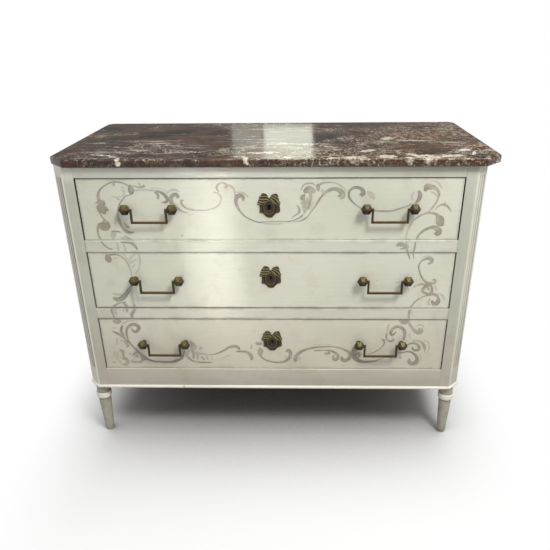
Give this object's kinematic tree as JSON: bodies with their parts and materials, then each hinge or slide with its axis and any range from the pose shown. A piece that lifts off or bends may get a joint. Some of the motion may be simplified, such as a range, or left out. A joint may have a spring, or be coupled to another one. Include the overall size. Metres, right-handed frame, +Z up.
{
  "type": "commode chest",
  "caption": "Painted commode chest with a marble top, fluted canted corners, turned tapering legs, and sliding drawers with swinging bail handles and key locks.",
  "frame": {"origin": "on the floor, under the middle of the whole object's box", "axes": "+X to the viewer's right, +Y to the back, +Z up; the drawers open towards -Y"},
  "size_m": [1.1538, 0.57, 0.8713],
  "materials": {
    "case_paint": "worn grey-cream paint",
    "drawer_paint": "worn cream paint with painted scrollwork",
    "bare_oak": "bare, aged",
    "marble": "polished red-brown marble with pale veins",
    "brass": "aged, dark in the hollows",
    "lock_iron": "dark, worn"
  },
  "bodies": {
    "carcass": {"marble_top": "marble", "left_corner_post": "case_paint", "right_corner_post": "case_paint", "top_rail": "case_paint", "upper_rail": "case_paint", "lower_rail": "case_paint", "bottom_rail": "case_paint", "left_side_panel": "case_paint", "right_side_panel": "case_paint", "back_panel": "case_paint", "base_board": "case_paint", "front_left_leg": "case_paint", "front_right_leg": "case_paint", "rear_left_leg": "case_paint", "rear_right_leg": "case_paint", "lower_runner_frame": "bare_oak", "middle_runner_frame": "bare_oak", "upper_runner_frame": "bare_oak"},
    "lower_drawer": {"lower_drawer_front": "drawer_paint", "lower_drawer_left_side": "bare_oak", "lower_drawer_right_side": "bare_oak", "lower_drawer_back": "bare_oak", "lower_drawer_bottom": "bare_oak", "lower_left_handle_left_post": "brass", "lower_left_handle_right_post": "brass", "lower_right_handle_left_post": "brass", "lower_right_handle_right_post": "brass", "lower_escutcheon": "brass", "lower_lock_case": "lock_iron"},
    "lower_left_bail": {"lower_left_bail": "brass"},
    "lower_right_bail": {"lower_right_bail": "brass"},
    "lower_lock_bolt": {"lower_lock_bolt": "lock_iron"},
    "middle_drawer": {"middle_drawer_front": "drawer_paint", "middle_drawer_left_side": "bare_oak", "middle_drawer_right_side": "bare_oak", "middle_drawer_back": "bare_oak", "middle_drawer_bottom": "bare_oak", "middle_left_handle_left_post": "brass", "middle_left_handle_right_post": "brass", "middle_right_handle_left_post": "brass", "middle_right_handle_right_post": "brass", "middle_escutcheon": "brass", "middle_lock_case": "lock_iron"},
    "middle_left_bail": {"middle_left_bail": "brass"},
    "middle_right_bail": {"middle_right_bail": "brass"},
    "middle_lock_bolt": {"middle_lock_bolt": "lock_iron"},
    "upper_drawer": {"upper_drawer_front": "drawer_paint", "upper_drawer_left_side": "bare_oak", "upper_drawer_right_side": "bare_oak", "upper_drawer_back": "bare_oak", "upper_drawer_bottom": "bare_oak", "upper_left_handle_left_post": "brass", "upper_left_handle_right_post": "brass", "upper_right_handle_left_post": "brass", "upper_right_handle_right_post": "brass", "upper_escutcheon": "brass", "upper_lock_case": "lock_iron"},
    "upper_left_bail": {"upper_left_bail": "brass"},
    "upper_right_bail": {"upper_right_bail": "brass"},
    "upper_lock_bolt": {"upper_lock_bolt": "lock_iron"}
  },
  "joints": [
    {"name": "lower_drawer_slide", "type": "slide", "parent": "carcass", "child": "lower_drawer", "axis": [0, -1, 0], "range_m": [0, 0.38]},
    {"name": "lower_left_bail_swing", "type": "hinge", "parent": "lower_drawer", "child": "lower_left_bail", "pos_m": [-0.3265, -0.273, 0.3355], "axis": [-1, 0, 0], "range_deg": [-20, 195]},
    {"name": "lower_right_bail_swing", "type": "hinge", "parent": "lower_drawer", "child": "lower_right_bail", "pos_m": [0.3005, -0.273, 0.3355], "axis": [-1, 0, 0], "range_deg": [-20, 195]},
    {"name": "lower_lock_bolt_throw", "type": "slide", "parent": "lower_drawer", "child": "lower_lock_bolt", "axis": [0, 0, 1], "range_m": [0, 0.01]},
    {"name": "middle_drawer_slide", "type": "slide", "parent": "carcass", "child": "middle_drawer", "axis": [0, -1, 0], "range_m": [0, 0.38]},
    {"name": "middle_left_bail_swing", "type": "hinge", "parent": "middle_drawer", "child": "middle_left_bail", "pos_m": [-0.3265, -0.273, 0.5387], "axis": [-1, 0, 0], "range_deg": [-20, 195]},
    {"name": "middle_right_bail_swing", "type": "hinge", "parent": "middle_drawer", "child": "middle_right_bail", "pos_m": [0.3005, -0.273, 0.5387], "axis": [-1, 0, 0], "range_deg": [-20, 195]},
    {"name": "middle_lock_bolt_throw", "type": "slide", "parent": "middle_drawer", "child": "middle_lock_bolt", "axis": [0, 0, 1], "range_m": [0, 0.01]},
    {"name": "upper_drawer_slide", "type": "slide", "parent": "carcass", "child": "upper_drawer", "axis": [0, -1, 0], "range_m": [0, 0.38]},
    {"name": "upper_left_bail_swing", "type": "hinge", "parent": "upper_drawer", "child": "upper_left_bail", "pos_m": [-0.3265, -0.273, 0.7419], "axis": [-1, 0, 0], "range_deg": [-20, 195]},
    {"name": "upper_right_bail_swing", "type": "hinge", "parent": "upper_drawer", "child": "upper_right_bail", "pos_m": [0.3005, -0.273, 0.7419], "axis": [-1, 0, 0], "range_deg": [-20, 195]},
    {"name": "upper_lock_bolt_throw", "type": "slide", "parent": "upper_drawer", "child": "upper_lock_bolt", "axis": [0, 0, 1], "range_m": [0, 0.01]}
  ]
}
